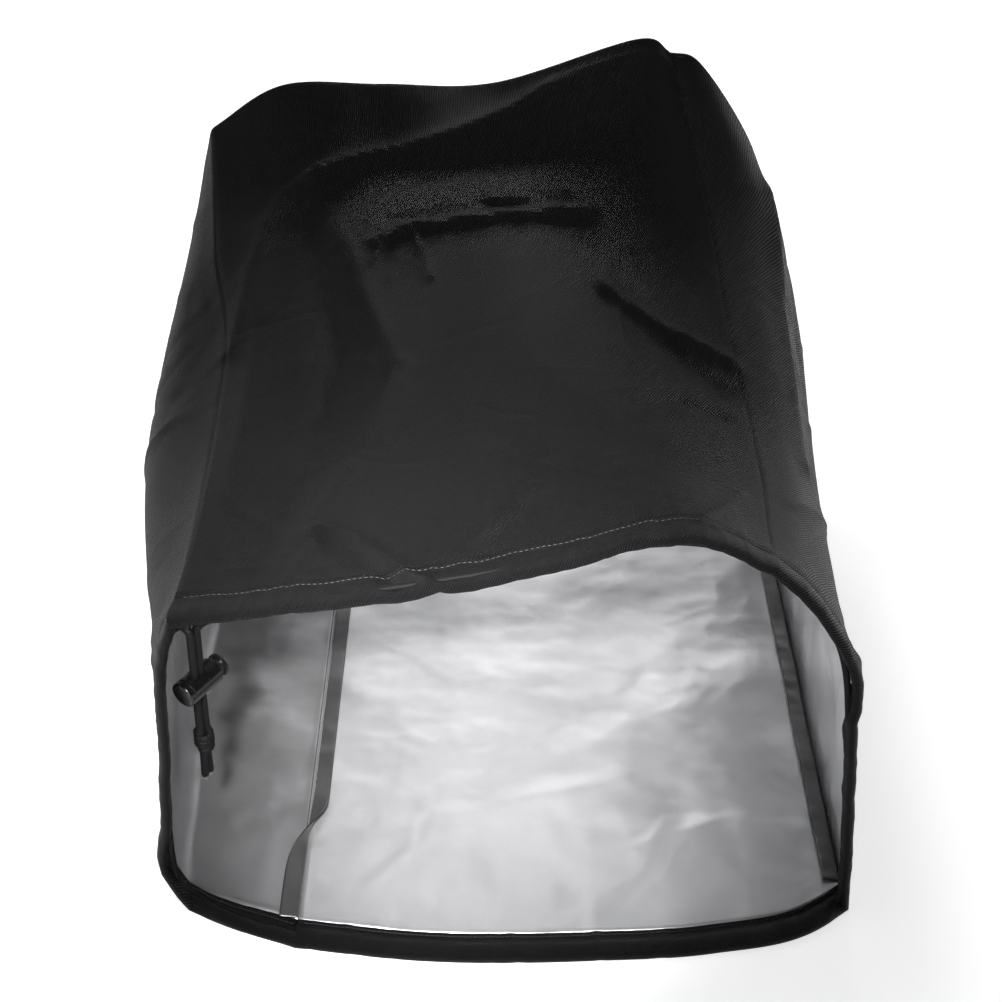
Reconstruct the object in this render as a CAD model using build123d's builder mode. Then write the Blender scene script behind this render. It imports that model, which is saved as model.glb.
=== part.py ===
from build123d import *
import math
import os

# Grill cover: a five-panel sewn box of coated polyester lying on its back panel,
# mouth towards -Y and closed end towards +Y, with a drawcord in the hem and a
# spring cord lock on the two cord tails.  Millimetres, +Z up, the floor is Z = 0.

# ---------------------------------------------------------------- driving sizes
PANEL_T = 1.2            # modelled thickness of a cloth panel
BACK_W = 353.0           # back panel between its two side seams
CLOSED_Y = 500.0         # inner face of the closed end
BODY_Y = 45.0            # where the panels take over from the hem bands
HEM_W = 25.0             # fold edge to stitch line
HEM_T = 6.6              # hem band where it holds the cord
TUNNEL_AT = 9.5          # fold edge to the middle of the cord tunnel
CORD_D = 4.8
TUNNEL_D = 5.6
ALLOWANCE_W = 12.0       # raw seam allowance inside a seam
ALLOWANCE_T = 0.8
THREAD_D = 0.6
GAP = 0.3                # clearance between separate pieces

CENTRE = Vector(-9.5, 229.1, 0)    # middle of the outline, brought to the origin

# cord lock; X values run along its own axis from the middle of the cord slot
LOCK_D = 17.0
LOCK_BORE_D = 13.6
LOCK_BACK_X = -14.2      # closed end of the barrel
LOCK_FRONT_X = 13.1      # open end
LOCK_FLOOR_X = -12.7     # bottom of the bore
DOME_R = 1.4
RIM_R = 0.5
RING_X = -9.6            # moulded ring line round the barrel
RING_W = 0.45
RING_DEPTH = 0.5
STRAND_PITCH = 4.96      # between the two strands in the lock
SLOT_W = 5.5
BARREL_SLOT_X = 5.2      # half length of the barrel's cord slot
PLUNGER_D = 13.2
PLUNGER_BACK_X = -6.7
PLUNGER_SLOT = (-5.05, 9.1)   # leaves the plunger 3.8 of travel along the strands
PLUNGER_FRONT_X = 13.9
NECK_D = 11.6
CAP_X = (17.2, 19.9)
CAP_D = 15.2
CAP_R = 1.4
SPRING_WIRE = 0.6
SPRING_MEAN_D = 8.6
SPRING_TURNS = 2.2
SPRING_PITCH = 0.68

# cord tails and knot, measured from the lock's middle
EXIT_UP = 36.0           # up to the hem exit
TURN_UP = 16.0           # further up inside the hem, before the cord turns along it
LOCK_CLEAR = 40.0        # down to where the strands close up
KNOT_DOWN = 46.5         # down to the knot's top
KNOT_LEAN = 0.8          # sideways, as the strands enter the knot
KNOT_LENGTH = 16.0
KNOT_PROFILE = ((0, -1.5), (4.6, -1.5), (6.4, 3.0), (6.4, 10.0), (4.6, 16.0), (0, 16.0))
END_SIDE = 1.9
END_SPLAY = 0.1
END_LENGTH = 30.0

# seams
FLAP_CLEAR = 1.4         # allowance strips stand this far in from the panels
THREAD_CLEAR = 0.1
END_CLEAR = 2.0          # strips stop this far short of the closed end
STITCH_AT = 23.6         # fold edge to the hem's stitch line
STITCH_V = 2.65

# Across the body, from the front-left seam down the left wall, over the floor and
# up the right wall, then back over the front: (x, z) on the outer face, at each of
# these distances from the mouth.
STATION_Y = (45, 130, 220, 310, 400, 450, 500)
LINES = {
    "front_left_seam": ((-192, 231), (-190, 236), (-191, 242), (-194, 256), (-210, 279), (-216, 302), (-222, 336)),
    "left_shoulder": ((-208, 190), (-226, 192), (-240, 200), (-246, 212), (-243, 235), (-240, 250), (-234, 275)),
    "left_mid": ((-214, 125), (-229, 125), (-240, 130), (-245, 135), (-243, 145), (-238, 150), (-232, 165)),
    "left_low": ((-216, 65), (-225, 62), (-233, 62), (-237, 64), (-236, 66), (-231, 70), (-224, 75)),
    "left_heel": ((-214, 9), (-219, 9), (-226, 9), (-229, 9), (-226, 9), (-221, 9), (-215, 9)),
    "left_foot": ((-206, 0), (-211, 0), (-218, 0), (-221, 0), (-218, 0), (-213, 0), (-207, 0)),
    "left_back_seam": ((-129.5, 0),) * 7,
    "right_back_seam": ((-129.5 + BACK_W, 0),) * 7,
    "right_low": ((220, 58), (222, 55), (224, 55), (226, 60), (227, 60), (226, 65), (223, 70)),
    "right_mid": ((214, 125), (219, 120), (223, 120), (226, 130), (227, 140), (226, 150), (218, 175)),
    "right_shoulder": ((205, 204), (208, 200), (211, 203), (213, 222), (214, 250), (208, 285), (188, 332)),
    "right_crest": ((182, 238), (189, 230), (193, 230), (192, 250), (186, 288), (178, 326), (150, 386)),
    "front_right_seam": ((160, 256), (165, 246), (165, 248), (158, 272), (151, 313), (141, 344), (128, 380)),
    "front_c": ((107, 283), (107, 268), (107, 270), (107, 292), (107, 328), (106, 360), (103, 407)),
    "front_b": ((33, 268), (33, 264), (33, 272), (33, 296), (31, 330), (24, 347), (-5, 373)),
    "front_a": ((-41, 251), (-41, 257), (-41, 270), (-42, 294), (-48, 328), (-62, 341), (-90, 372)),
    "front_edge": ((-120, 240), (-119, 250), (-117, 266), (-117, 290), (-124, 322), (-134, 339), (-165, 371)),
}
NAMES = list(LINES)

# The mouth: for the same lines, the hem's fold edge (x, y, z) on the outer face.
MOUTH = {
    "front_left_seam": (-195, 2, 227),
    "left_shoulder": (-205, 3, 188),
    "left_mid": (-208, 6, 128),
    "left_low": (-213, 9, 68),
    "left_heel": (-213, 10, 12),
    "left_foot": (-201, 2, 0),
    "left_back_seam": (-129.5, -32, 0),
    "right_back_seam": (223.5, 2, 0),
    "right_low": (222, 7, 60),
    "right_mid": (217, 4, 130),
    "right_shoulder": (208, 2, 201),
    "right_crest": (186, 3, 236),
    "front_right_seam": (159, 4, 264),
    "front_c": (107, 1, 287),
    "front_b": (33, 0, 269),
    "front_a": (-41, 0, 251),
    "front_edge": (-120, 0, 240),
}
BACK_HEM = ((-129.5, -32), (-53, -43), (62, -43), (132, -37), (201, -16), (223.5, 2))


def placed(x, y, z):
    """A point of the lying cover, moved so that the outline's middle is the origin."""
    return Vector(x, y, z) - CENTRE


def body_station(index):
    """The section plane at one station, its x along X and its y up."""
    return Plane(origin=placed(0, STATION_Y[index], 0), x_dir=(1, 0, 0), z_dir=(0, -1, 0))


def inset(points, amount):
    """Move a counter-clockwise closed outline inwards, corners mitred."""
    result = []
    for i, here in enumerate(points):
        before = Vector(*here) - Vector(*points[i - 1])
        after = Vector(*points[(i + 1) % len(points)]) - Vector(*here)
        first = Vector(-before.Y, before.X).normalized()
        second = Vector(-after.Y, after.X).normalized()
        middle = (first + second).normalized()
        move = middle * (amount / middle.dot(first))
        result.append((here[0] + move.X, here[1] + move.Y))
    return result


def outline(index, amount=0.0):
    """The closed body section at one station, as a dictionary of named points."""
    points = [LINES[name][index] for name in NAMES]
    return dict(zip(NAMES, inset(points, amount) if amount else points))


def run_of(first, last):
    """The named lines from one seam to the next, in order round the body."""
    start = NAMES.index(first)
    names = NAMES[start:] + NAMES[:start]
    return names[:names.index(last) + 1]


def write(part, name):
    part.label = name
    export_step(part, f"parts/{name}.step")


os.makedirs("parts", exist_ok=True)


# ---------------------------------------------------------------- cloth panels
def wall_panel(first, last):
    """A thin panel between two seams, lofted through the stations."""
    names = run_of(first, last)
    with BuildPart() as panel:
        for index in range(len(STATION_Y)):
            outer = outline(index)
            inner = outline(index, PANEL_T)
            with BuildSketch(body_station(index)):
                with BuildLine():
                    Polyline([outer[n] for n in names] + [inner[n] for n in reversed(names)], close=True)
                make_face()
        loft(ruled=True)
    return panel.part


write(wall_panel("front_right_seam", "front_left_seam"), "front_panel")
write(wall_panel("front_left_seam", "left_back_seam"), "left_side_panel")
write(wall_panel("right_back_seam", "front_right_seam"), "right_side_panel")

# The back panel lies flat on the floor; its mouth edge is bowed towards the user.
wall_x = LINES["right_back_seam"][0][0] - PANEL_T
with BuildPart() as back_panel:
    with BuildSketch(Plane.XY):
        with BuildLine():
            mouth_edge = [placed(x, y + HEM_W + GAP, 0) for x, y in BACK_HEM]
            far_edge = [placed(wall_x, CLOSED_Y, 0), placed(BACK_HEM[0][0], CLOSED_Y, 0)]
            Polyline([(min(p.X, far_edge[0].X), p.Y) for p in mouth_edge + far_edge], close=True)
        make_face()
    extrude(amount=PANEL_T)
write(back_panel.part, "back_panel")

# The closed end stands behind the four walls and follows their last section.
with BuildPart() as top_panel:
    with BuildSketch(body_station(len(STATION_Y) - 1)):
        with BuildLine():
            Polyline(list(outline(len(STATION_Y) - 1).values()), close=True)
        make_face()
    extrude(amount=-PANEL_T)
write(top_panel.part, "top_panel")

# ---------------------------------------------------------------- hem bands
# A hem band is the panel's edge folded inwards round the cord and stitched down.
# Its section lies across the mouth: u from the fold edge into the cover, v inwards.
BAND = ((1.0, 0.0), (0.0, 1.6), (0.0, 4.4), (5.0, HEM_T), (14.0, HEM_T), (22.0, 2.6))


# One row per section: the fold-edge point and the point where the band ends.
def wall_rows(first, last):
    """Rows from one seam to the next along the walls or the front."""
    section = outline(0)
    rows = []
    for name in run_of(first, last):
        x, z = section[name]
        rows.append((Vector(*MOUTH[name]), Vector(x, BODY_Y - GAP, z)))
    return rows


EXIT_GAP = 9.0           # opening left between the front and left bands for the cord
LEFT_ROWS = wall_rows("front_left_seam", "left_back_seam")
BACK_ROWS = [(Vector(x, y, 0), Vector(x, y + HEM_W, 0)) for x, y in BACK_HEM]
RIGHT_ROWS = wall_rows("right_back_seam", "front_right_seam")
FRONT_ROWS = wall_rows("front_right_seam", "front_left_seam")
FRONT_ROWS[-1] = (FRONT_ROWS[-1][0] + Vector(EXIT_GAP, 0, 1), FRONT_ROWS[-1][1])
FOLD = [row[0] for row in LEFT_ROWS[:-1] + BACK_ROWS[:-1] + RIGHT_ROWS[:-1] + FRONT_ROWS]


def ring_plane(row):
    """Section plane of the hem at one row: x into the cover, y inwards."""
    fold, body = row
    here = FOLD.index(fold)
    before = FOLD[here - 1] if here > 0 else fold - (FOLD[1] - fold)
    after = FOLD[here + 1] if here + 1 < len(FOLD) else fold + (fold - before)
    along = (after - fold).normalized() + (fold - before).normalized()
    into = (body - fold).normalized()
    normal = (along - into * along.dot(into)).normalized()
    return Plane(origin=fold - CENTRE, x_dir=into, z_dir=normal)


def hem_band(rows):
    with BuildPart() as band:
        for row in rows:
            reach = (row[1] - row[0]).length
            shoulder = min(HEM_W + 1, reach - 0.4)
            section = BAND + ((shoulder, PANEL_T), (reach, PANEL_T), (reach, 0.0))
            with BuildSketch(ring_plane(row)):
                with BuildLine():
                    Polyline(section, close=True)
                make_face()
        loft(ruled=True)
        add(tunnel, mode=Mode.SUBTRACT)
    return band.part


# ---------------------------------------------------------------- drawcord
def corner_radii(points, share=0.45, smallest=0.0):
    """One radius per corner, as large as its two runs allow."""
    radii = []
    for before, here, after in zip(points, points[1:], points[2:]):
        first = here - before
        second = after - here
        half_turn = math.radians(first.get_angle(second)) / 2
        radii.append(max(smallest, share * min(first.length, second.length) / math.tan(half_turn)))
    return radii


def rounded_tube(points, diameter):
    """A round tube along straight runs joined by tangent arcs."""
    radii = corner_radii(points)
    with BuildPart() as tube:
        with BuildLine() as path:
            FilletPolyline(*points, radius=radii)
        start = Plane(origin=path.line @ 0, z_dir=path.line % 0)
        with BuildSketch(start):
            Circle(diameter / 2)
        sweep(path=path.wire())
    length = path.wire().length
    section = math.pi * diameter ** 2 / 4
    print(f"tube {diameter}: length {length:.1f}, volume ratio {tube.part.volume / section / length:.4f},"
          f" radii {[round(r, 1) for r in radii]}")
    return tube.part


# The lock hangs on the tails: cord_down is their direction, lock_axis its plunger's.
cord_down = Vector(-0.04, 0.225, -0.974).normalized()
plunger_side = Vector(1, 1.38, 0)
lock_axis = (plunger_side - cord_down * plunger_side.dot(cord_down)).normalized()
lock_centre = placed(-182.4, 17.5, 173.0)
STRAND_SIDE = {"left": -1, "right": 1}


def strand_point(side, down):
    """A point on one strand, a distance down the cord from the lock's middle."""
    return lock_centre + lock_axis * (STRAND_SIDE[side] * STRAND_PITCH / 2) + cord_down * down


left_exit = strand_point("left", -EXIT_UP)
right_exit = strand_point("right", -EXIT_UP)

tunnel_points = []
for ring_row in (LEFT_ROWS[1:-1] + BACK_ROWS[:-1] + RIGHT_ROWS[:-1] + FRONT_ROWS[:-1]):
    ring_section = ring_plane(ring_row)
    tunnel_points.append(ring_section.origin + ring_section.x_dir * TUNNEL_AT + ring_section.y_dir * HEM_T / 2)
# Up out of the left band and over into the left tail; out of the front band into the right tail.
left_corner = left_exit - cord_down * TURN_UP
right_corner = right_exit - cord_down * TURN_UP
left_turn = [left_exit, left_corner, left_corner + Vector(-12, 10, -3)]
right_turn = [right_corner + Vector(16, 6, 1.5), right_corner, right_exit]
drawcord_points = left_turn + tunnel_points + right_turn
drawcord_part = rounded_tube(drawcord_points, CORD_D)
tunnel = rounded_tube(drawcord_points, TUNNEL_D)
write(drawcord_part, "drawcord")

write(hem_band(LEFT_ROWS), "left_hem")
write(hem_band(BACK_ROWS), "back_hem")
write(hem_band(RIGHT_ROWS), "right_hem")
write(hem_band(FRONT_ROWS), "front_hem")


def tail(side):
    """One free strand, straight through the lock and then in towards the knot."""
    knot_entry = strand_point(side, KNOT_DOWN) + cord_down.cross(lock_axis) * KNOT_LEAN
    return rounded_tube([strand_point(side, -EXIT_UP), strand_point(side, LOCK_CLEAR), knot_entry], CORD_D)


write(tail("left"), "drawcord_tail_left")
write(tail("right"), "drawcord_tail_right")

# Both strands are tied in one overhand knot, with two short cut ends below it.
knot_plane = Plane(origin=lock_centre + cord_down * KNOT_DOWN, x_dir=lock_axis, z_dir=cord_down)
with BuildPart() as knot:
    with BuildSketch(Plane(origin=knot_plane.origin, x_dir=lock_axis, z_dir=-knot_plane.y_dir)):
        with BuildLine():
            Polyline(KNOT_PROFILE, close=True)
        make_face()
    revolve(axis=Axis(knot_plane.origin, cord_down))
    for side in STRAND_SIDE.values():
        end_start = knot_plane.origin + cord_down * (KNOT_LENGTH - CORD_D) + lock_axis * (side * END_SIDE)
        splay = (cord_down + lock_axis * (side * END_SPLAY)).normalized()
        with BuildSketch(Plane(origin=end_start, z_dir=splay)):
            Circle(CORD_D / 2)
        extrude(amount=END_LENGTH)
write(knot.part, "drawcord_knot")

# ---------------------------------------------------------------- cord lock
lock_plane = Plane(origin=lock_centre, x_dir=lock_axis, z_dir=-cord_down)
lock_spin = Axis(lock_centre, lock_axis)


def cord_slot(low, high):
    """The cord slot through the lock, round ended, from one end to the other along the axis."""
    with BuildSketch(lock_plane) as slot:
        with Locations(((low + high) / 2, 0)):
            SlotOverall(high - low, SLOT_W)
    return slot.sketch


with BuildPart() as barrel:
    with BuildSketch(lock_plane):
        with BuildLine():
            Polyline(
                (LOCK_BACK_X, 0),
                (LOCK_BACK_X, LOCK_D / 2),
                (RING_X - RING_W, LOCK_D / 2),
                (RING_X, LOCK_D / 2 - RING_DEPTH),
                (RING_X + RING_W, LOCK_D / 2),
                (LOCK_FRONT_X, LOCK_D / 2),
                (LOCK_FRONT_X, LOCK_BORE_D / 2),
                (LOCK_FLOOR_X, LOCK_BORE_D / 2),
                (LOCK_FLOOR_X, 0),
                close=True,
            )
        make_face()
    revolve(axis=lock_spin)
    circles = barrel.edges().filter_by(GeomType.CIRCLE)
    fillet(circles.sort_by(lock_spin)[0], DOME_R)
    fillet(barrel.edges().filter_by(GeomType.CIRCLE).sort_by(lock_spin)[-2:], RIM_R)
    extrude(cord_slot(-BARREL_SLOT_X, BARREL_SLOT_X), amount=LOCK_D, both=True, mode=Mode.SUBTRACT)
write(barrel.part, "cord_lock_barrel")

with BuildPart() as plunger:
    with BuildSketch(lock_plane):
        with BuildLine():
            Polyline(
                (PLUNGER_BACK_X, 0),
                (PLUNGER_BACK_X, PLUNGER_D / 2),
                (PLUNGER_FRONT_X, PLUNGER_D / 2),
                (PLUNGER_FRONT_X, NECK_D / 2),
                (CAP_X[0], NECK_D / 2),
                (CAP_X[0], CAP_D / 2),
                (CAP_X[1], CAP_D / 2),
                (CAP_X[1], 0),
                close=True,
            )
        make_face()
    revolve(axis=lock_spin)
    fillet(plunger.edges().filter_by(GeomType.CIRCLE).sort_by(lock_spin)[-1], CAP_R)
    extrude(cord_slot(*PLUNGER_SLOT), amount=LOCK_D, both=True, mode=Mode.SUBTRACT)
write(plunger.part, "cord_lock_plunger")

# The spring is drawn at its fully pressed height, on the bottom of the bore.
spring_foot = lock_plane.origin + lock_plane.x_dir * (LOCK_FLOOR_X + SPRING_WIRE / 2 + 0.05)
with BuildPart() as spring:
    with BuildLine() as coil:
        Helix(SPRING_PITCH, SPRING_PITCH * SPRING_TURNS, SPRING_MEAN_D / 2, spring_foot, lock_axis)
    with BuildSketch(Plane(origin=coil.line @ 0, z_dir=coil.line % 0)):
        Circle(SPRING_WIRE / 2)
    sweep(path=coil.wire())
write(spring.part, "cord_lock_spring")

# ---------------------------------------------------------------- seam allowances and thread
# The raw edges of each seam stand inside the cover, with one row of thread beside it.
LAYER = PANEL_T + GAP    # height of the first piece above an outer face


def floor_strip(x_low, x_high, y_low, z_low, thick):
    """A flat strip along a floor seam, up to the closed end."""
    with BuildPart() as strip:
        with BuildSketch(Plane.XY.offset(z_low)):
            near = placed(x_low, y_low, 0)
            far = placed(x_high, CLOSED_Y - END_CLEAR, 0)
            with Locations(((near.X + far.X) / 2, (near.Y + far.Y) / 2)):
                Rectangle(far.X - near.X, far.Y - near.Y)
        extrude(amount=thick)
    return strip.part


seam_x = LINES["left_back_seam"][0][0]
left_start = MOUTH["left_back_seam"][1] + HEM_W + 2
write(floor_strip(seam_x, seam_x + ALLOWANCE_W, left_start, LAYER, ALLOWANCE_T), "left_back_seam_allowance")
thread_z = LAYER + ALLOWANCE_T + THREAD_CLEAR
write(floor_strip(seam_x + 1, seam_x + 1 + THREAD_D, left_start, thread_z, THREAD_D), "left_back_seam_thread")

seam_x = LINES["right_back_seam"][0][0] - LAYER
right_start = MOUTH["right_back_seam"][1] + HEM_W + 2
write(floor_strip(seam_x - ALLOWANCE_W, seam_x, right_start, LAYER, ALLOWANCE_T), "right_back_seam_allowance")
write(floor_strip(seam_x - 1 - THREAD_D, seam_x - 1, right_start, thread_z, THREAD_D), "right_back_seam_thread")


def hanging_strip(seam, side, width, drop):
    """A strip hanging from a front seam: side offset, width across, and how far down it starts and ends."""
    with BuildPart() as strip:
        for index in range(len(STATION_Y)):
            x, z = outline(index, PANEL_T + FLAP_CLEAR)[seam]
            last = index == len(STATION_Y) - 1
            plane = body_station(index).offset(END_CLEAR if last else 0)
            with BuildSketch(plane):
                with BuildLine():
                    Polyline(
                        (x + side, z - drop[0]),
                        (x + side + width, z - drop[0]),
                        (x + side + width, z - drop[1]),
                        (x + side, z - drop[1]),
                        close=True,
                    )
                make_face()
        loft(ruled=True)
    return strip.part


for seam, side in (("front_left_seam", 1), ("front_right_seam", -1)):
    label = seam.removesuffix("_seam").removeprefix("front_")
    write(hanging_strip(seam, 0, side * ALLOWANCE_T, (0, ALLOWANCE_W)), f"{label}_front_seam_allowance")
    thread_side = side * (ALLOWANCE_T + THREAD_CLEAR)
    write(hanging_strip(seam, thread_side, side * THREAD_D, (1, 1 + THREAD_D)), f"{label}_front_seam_thread")


def closed_end_ring(outer, inner, near_y, thick):
    """A flat ring inside the closed end, between two insets of its outline."""
    last = len(STATION_Y) - 1
    with BuildPart() as ring:
        with BuildSketch(body_station(last).offset(CLOSED_Y - near_y)):
            with BuildLine():
                Polyline(list(outline(last, outer).values()), close=True)
            make_face()
            with BuildLine():
                Polyline(list(outline(last, inner).values()), close=True)
            make_face(mode=Mode.SUBTRACT)
        extrude(amount=-thick)
    return ring.part


ring_edge = PANEL_T + 2 * GAP + 0.6
ring_y = CLOSED_Y - GAP - ALLOWANCE_T
write(closed_end_ring(ring_edge, ring_edge + ALLOWANCE_W, ring_y, ALLOWANCE_T), "closed_end_seam_allowance")
thread_y = ring_y - THREAD_CLEAR - THREAD_D
write(closed_end_ring(ring_edge + 1, ring_edge + 1 + THREAD_D, thread_y, THREAD_D), "closed_end_seam_thread")


def hem_thread():
    """The row of thread that closes the hem, all round the mouth on its inner face."""
    with BuildPart() as thread:
        for rows in (LEFT_ROWS, BACK_ROWS, RIGHT_ROWS, FRONT_ROWS):
            for row in rows:
                with BuildSketch(ring_plane(row)):
                    with Locations((STITCH_AT, STITCH_V)):
                        Rectangle(THREAD_D, THREAD_D)
            loft(ruled=True)
    return thread.part


write(hem_thread(), "hem_thread")
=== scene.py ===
import math
import random

import bpy
import numpy as np
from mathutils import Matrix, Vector

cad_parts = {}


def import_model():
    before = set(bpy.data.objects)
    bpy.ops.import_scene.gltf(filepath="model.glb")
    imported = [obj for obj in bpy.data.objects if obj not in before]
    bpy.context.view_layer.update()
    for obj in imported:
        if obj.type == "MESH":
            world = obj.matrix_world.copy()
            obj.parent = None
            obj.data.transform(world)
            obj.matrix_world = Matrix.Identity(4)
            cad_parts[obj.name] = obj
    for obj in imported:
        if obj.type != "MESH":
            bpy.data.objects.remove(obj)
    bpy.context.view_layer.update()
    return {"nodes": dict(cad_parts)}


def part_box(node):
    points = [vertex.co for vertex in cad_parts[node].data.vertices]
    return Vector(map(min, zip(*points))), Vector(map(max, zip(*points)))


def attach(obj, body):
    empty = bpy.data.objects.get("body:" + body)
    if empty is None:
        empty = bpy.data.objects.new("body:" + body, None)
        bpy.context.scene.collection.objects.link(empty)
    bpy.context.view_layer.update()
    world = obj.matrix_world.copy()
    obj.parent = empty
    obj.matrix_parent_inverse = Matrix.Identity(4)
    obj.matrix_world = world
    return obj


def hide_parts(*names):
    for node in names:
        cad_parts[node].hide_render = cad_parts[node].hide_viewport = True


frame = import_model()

# A grill cover of black coated twill lying on its back panel: five sewn panels, a folded
# hem with a drawcord, and a cord lock on the cord's two tails.  The control lines below
# are in millimetres in the lying cover's own axes: x across, y into the cover, z up.
MM = 0.001
back_low, back_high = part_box("back_panel")
SEAM_LEFT = -129.5       # the floor seams, across
SEAM_RIGHT = 223.5
CLOSED_Y = 500           # the closed end
SHIFT = np.array([back_low[0] - SEAM_LEFT * MM, back_high[1] - CLOSED_Y * MM, 0.0])


def world(points):
    """Lying-cover millimetres to metres in the shared frame."""
    return np.asarray(points, float) * MM + SHIFT


# ------------------------------------------------------------------ camera
camera = bpy.data.objects.new("camera", bpy.data.cameras.new("camera"))
bpy.context.scene.collection.objects.link(camera)
CAMERA_AT = (0, -940, 900)
CAMERA_PITCH = 32        # degrees down
camera.location = world(CAMERA_AT)
camera.rotation_euler = (math.radians(90 - CAMERA_PITCH), 0, 0)
camera.data.sensor_width = 36
camera.data.lens = 71.4
bpy.context.scene.camera = camera
bpy.context.scene.view_settings.view_transform = "Standard"


# ------------------------------------------------------------------ node helpers
def material(name):
    mat = bpy.data.materials.new(name)
    mat.use_nodes = True
    return mat, mat.node_tree, mat.node_tree.nodes["Principled BSDF"]


def node(tree, kind, inputs=None, **settings):
    made = tree.nodes.new(kind)
    for key, value in settings.items():
        setattr(made, key, value)
    for key, value in (inputs or {}).items():
        if isinstance(value, bpy.types.NodeSocket):
            tree.links.new(value, made.inputs[key])
        else:
            made.inputs[key].default_value = value
    return made


def maths(tree, operation, a, b=0.0):
    return node(tree, "ShaderNodeMath", {0: a, 1: b}, operation=operation).outputs[0]


def ramp(tree, value, low, high, to_low=0.0, to_high=1.0):
    made = node(tree, "ShaderNodeMapRange", {"Value": value, "From Min": low, "From Max": high,
                                             "To Min": to_low, "To Max": to_high})
    return made.outputs["Result"]


def mixed(tree, factor, a, b):
    made = node(tree, "ShaderNodeMix", {0: factor, 6: a, 7: b}, data_type="RGBA")
    return made.outputs[2]


def cloth_axes(tree):
    """The two thread directions of the cloth, in metres along the weave."""
    place = node(tree, "ShaderNodeAttribute", attribute_name="weave")
    parts = node(tree, "ShaderNodeSeparateXYZ", {0: place.outputs["Vector"]})
    return place.outputs["Vector"], parts.outputs[0], parts.outputs[1]


def noise_at(tree, vector, scale, detail=3.0, rough=0.5):
    made = node(tree, "ShaderNodeTexNoise", {"Vector": vector, "Scale": scale, "Detail": detail,
                                             "Roughness": rough})
    return made.outputs["Fac"]


TWILL_PITCH = 0.0016


def black_twill():
    mat, tree, shader = material("black_twill")
    vector, across, along = cloth_axes(tree)
    wobble = noise_at(tree, vector, 90.0)
    slant = maths(tree, "ADD", across, maths(tree, "MULTIPLY", along, 0.62))
    slant = maths(tree, "ADD", slant, maths(tree, "MULTIPLY", wobble, 0.0009))
    rib = maths(tree, "SINE", maths(tree, "MULTIPLY", slant, 2 * math.pi / TWILL_PITCH))
    weft = maths(tree, "SINE", maths(tree, "MULTIPLY", along, 2 * math.pi / (TWILL_PITCH * 0.55)))
    height = maths(tree, "ADD", rib, maths(tree, "MULTIPLY", weft, 0.35))
    fine = noise_at(tree, vector, 900.0, 2.0)
    height = maths(tree, "ADD", height, maths(tree, "MULTIPLY", maths(tree, "SUBTRACT", fine, 0.5), 2.4))
    broad = noise_at(tree, vector, 9.0, 4.0, 0.6)
    colour = mixed(tree, ramp(tree, height, -0.5, 1.3), (0.0004, 0.0004, 0.0005, 1),
                   (0.018, 0.018, 0.0195, 1))
    colour = mixed(tree, ramp(tree, broad, 0.3, 0.7, 0.0, 0.22), colour, (0.006, 0.006, 0.0065, 1))
    tree.links.new(colour, shader.inputs["Base Color"])
    tree.links.new(ramp(tree, height, -1.2, 1.6, 0.62, 0.32), shader.inputs["Roughness"])
    shader.inputs["IOR"].default_value = 1.27
    bump = node(tree, "ShaderNodeBump", {"Strength": 1.0, "Distance": 0.0004, "Height": height})
    tree.links.new(bump.outputs["Normal"], shader.inputs["Normal"])
    return mat


def silver_coating(name, dark, light):
    mat, tree, shader = material(name)
    vector, across, along = cloth_axes(tree)
    grid = maths(tree, "MULTIPLY", maths(tree, "SINE", maths(tree, "MULTIPLY", across, 9000.0)),
                 maths(tree, "SINE", maths(tree, "MULTIPLY", along, 9000.0)))
    speck = noise_at(tree, vector, 2600.0, 2.0)
    height = maths(tree, "ADD", maths(tree, "MULTIPLY", grid, 0.4), speck)
    broad = noise_at(tree, vector, 14.0, 5.0, 0.6)
    colour = mixed(tree, ramp(tree, broad, 0.3, 0.7), (dark, dark, dark * 1.01, 1),
                   (light, light, light * 1.01, 1))
    tree.links.new(colour, shader.inputs["Base Color"])
    tree.links.new(ramp(tree, speck, 0.3, 0.7, 0.27, 0.37), shader.inputs["Roughness"])
    shader.inputs["Metallic"].default_value = 0.85
    ripple = noise_at(tree, vector, 11.0, 2.5, 0.45)
    waves = node(tree, "ShaderNodeBump", {"Strength": 1.0, "Distance": 0.012, "Height": ripple})
    bump = node(tree, "ShaderNodeBump", {"Strength": 0.25, "Distance": 0.0001, "Height": height})
    tree.links.new(waves.outputs["Normal"], bump.inputs["Normal"])
    tree.links.new(bump.outputs["Normal"], shader.inputs["Normal"])
    return mat


def cord_fibre():
    mat, tree, shader = material("cord_fibre")
    place = node(tree, "ShaderNodeTexCoord").outputs["Object"]
    fibre = noise_at(tree, place, 1800.0, 3.0)
    colour = mixed(tree, ramp(tree, fibre, 0.35, 0.7), (0.0012, 0.0012, 0.0015, 1),
                   (0.0065, 0.0065, 0.0072, 1))
    tree.links.new(colour, shader.inputs["Base Color"])
    shader.inputs["Roughness"].default_value = 0.6
    shader.inputs["IOR"].default_value = 1.25
    bump = node(tree, "ShaderNodeBump", {"Strength": 0.7, "Distance": 0.0002, "Height": fibre})
    tree.links.new(bump.outputs["Normal"], shader.inputs["Normal"])
    return mat


def pale_fibre():
    mat, tree, shader = material("frayed_fibre")
    place = node(tree, "ShaderNodeTexCoord").outputs["Object"]
    tone = noise_at(tree, place, 900.0, 2.0)
    colour = mixed(tree, ramp(tree, tone, 0.3, 0.7), (0.05, 0.05, 0.05, 1), (0.32, 0.31, 0.29, 1))
    tree.links.new(colour, shader.inputs["Base Color"])
    shader.inputs["Roughness"].default_value = 0.7
    return mat


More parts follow.
